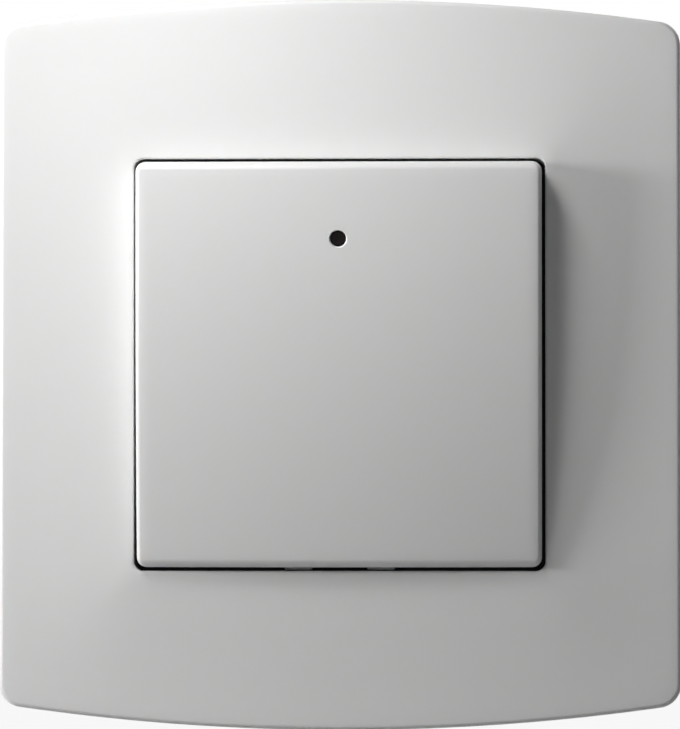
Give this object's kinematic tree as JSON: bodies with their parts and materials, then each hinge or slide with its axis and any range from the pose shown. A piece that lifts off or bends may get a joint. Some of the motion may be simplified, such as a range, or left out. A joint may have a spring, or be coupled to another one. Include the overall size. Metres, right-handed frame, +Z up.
{
  "type": "illuminated push button switch",
  "caption": "Square white wall push button with a small dark indicator window, in a bow-ended surround plate over a steel bridge and a deep contact housing.",
  "frame": {"origin": "on the wall's surface, behind the middle of the surround plate", "axes": "+Z up the plate, +Y into the wall, +X to the right of someone facing the switch"},
  "size_m": [0.0764, 0.0326, 0.0818],
  "materials": {
    "white_moulded_plastic": "satin gloss white moulded plastic",
    "button_plastic": "satin gloss white moulded plastic",
    "carrier_plastic": "natural white acetal",
    "cover_plastic": "pale grey moulded plastic",
    "housing_plastic": "mid grey glass-filled plastic",
    "zinc_plated_steel": "bright zinc plate on stamped sheet",
    "smoked_lens": "dark smoked light pipe",
    "lamp_plastic": "tinted clear lamp body",
    "board_laminate": "green lacquered laminate",
    "resistor_coat": "tan lacquer",
    "lead_cover": "black soft cover",
    "spring_steel": "bright drawn wire",
    "brass_strip": "stamped brass",
    "blade_bronze": "rolled spring bronze",
    "cage_brass": "sawn and drilled brass",
    "contact_silver": "silver alloy rivet",
    "screw_steel": "zinc-plated steel"
  },
  "bodies": {
    "switch_body": {"surround_plate": "white_moulded_plastic", "mounting_bridge": "zinc_plated_steel", "mechanism_housing": "housing_plastic", "mechanism_cover": "cover_plastic", "led_lamp": "lamp_plastic", "led_board": "board_laminate", "led_resistor": "resistor_coat", "led_lead_load": "lead_cover", "led_lead_neutral": "lead_cover", "return_spring": "spring_steel", "common_strip": "brass_strip", "load_strip": "brass_strip", "neutral_strip": "brass_strip", "fixed_tip": "contact_silver", "terminal_cage_1": "cage_brass", "terminal_cage_2": "cage_brass", "terminal_cage_3": "cage_brass", "terminal_screw_1": "screw_steel", "terminal_screw_2": "screw_steel", "terminal_screw_3": "screw_steel"},
    "push_button": {"key_cap": "button_plastic", "indicator_lens": "smoked_lens", "rocker_carrier": "carrier_plastic"},
    "contact_blade": {"moving_contact": "blade_bronze", "moving_tip": "contact_silver"}
  },
  "joints": [
    {"name": "key_press", "type": "hinge", "parent": "switch_body", "child": "push_button", "pos_m": [0, -0.006, 0], "axis": [-1, 0, 0], "range_deg": [0, 7], "stiffness_Nm_per_rad": 0.35, "springref_deg": -8.59, "deforming": ["return_spring"]},
    {"name": "blade_bend", "type": "hinge", "parent": "switch_body", "child": "contact_blade", "pos_m": [-0.012, 0.0155, -0.00121], "axis": [1, 0, 0], "range_deg": [0, 4.85], "stiffness_Nm_per_rad": 0.02}
  ],
  "couplings": [
    {"joint": "blade_bend", "follows": "key_press", "ratio": 0.69202}
  ]
}
